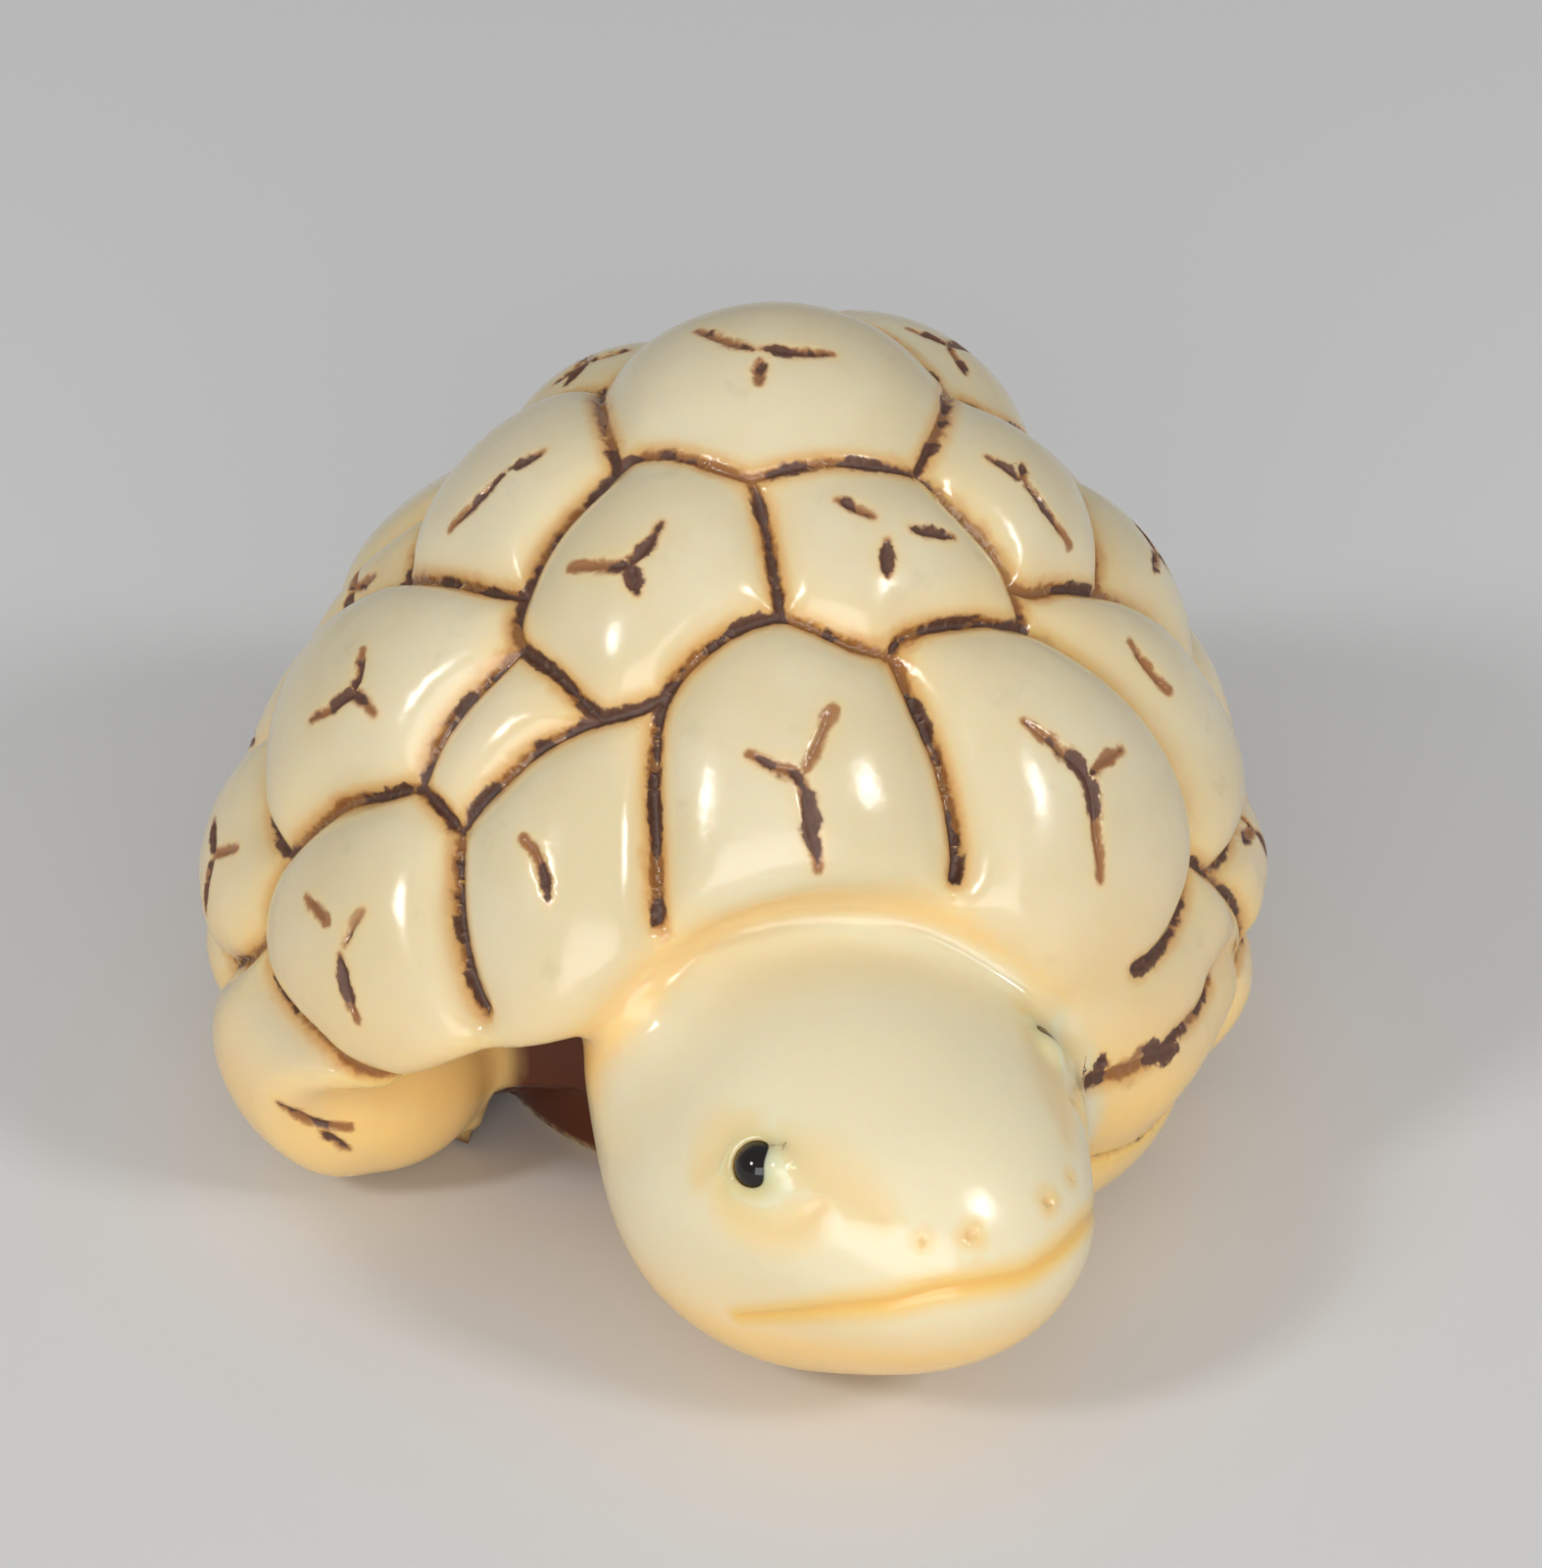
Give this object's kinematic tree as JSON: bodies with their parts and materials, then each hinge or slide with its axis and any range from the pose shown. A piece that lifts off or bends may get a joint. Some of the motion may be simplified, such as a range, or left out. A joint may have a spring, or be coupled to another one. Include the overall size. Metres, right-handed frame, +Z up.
{
  "type": "turtle figurine",
  "caption": "Small solid turtle ornament: high domed shell of swelling scutes, head turned to its left, bead eyes, flat belly to stand on.",
  "frame": {"origin": "on the ground under the middle of the shell, in the flat face of the belly", "axes": "+Z up, -Y to the front where the head comes out, +X to the turtle's left, which its head is turned to"},
  "size_m": [0.0401, 0.05, 0.0309],
  "materials": {
    "ivory_resin": "polished ivory-coloured resin, brown stain in the grooves",
    "black_bead": "polished black bead"
  },
  "bodies": {
    "root": {"carved_body": "ivory_resin", "eye_right": "black_bead", "eye_left": "black_bead"}
  },
  "joints": []
}
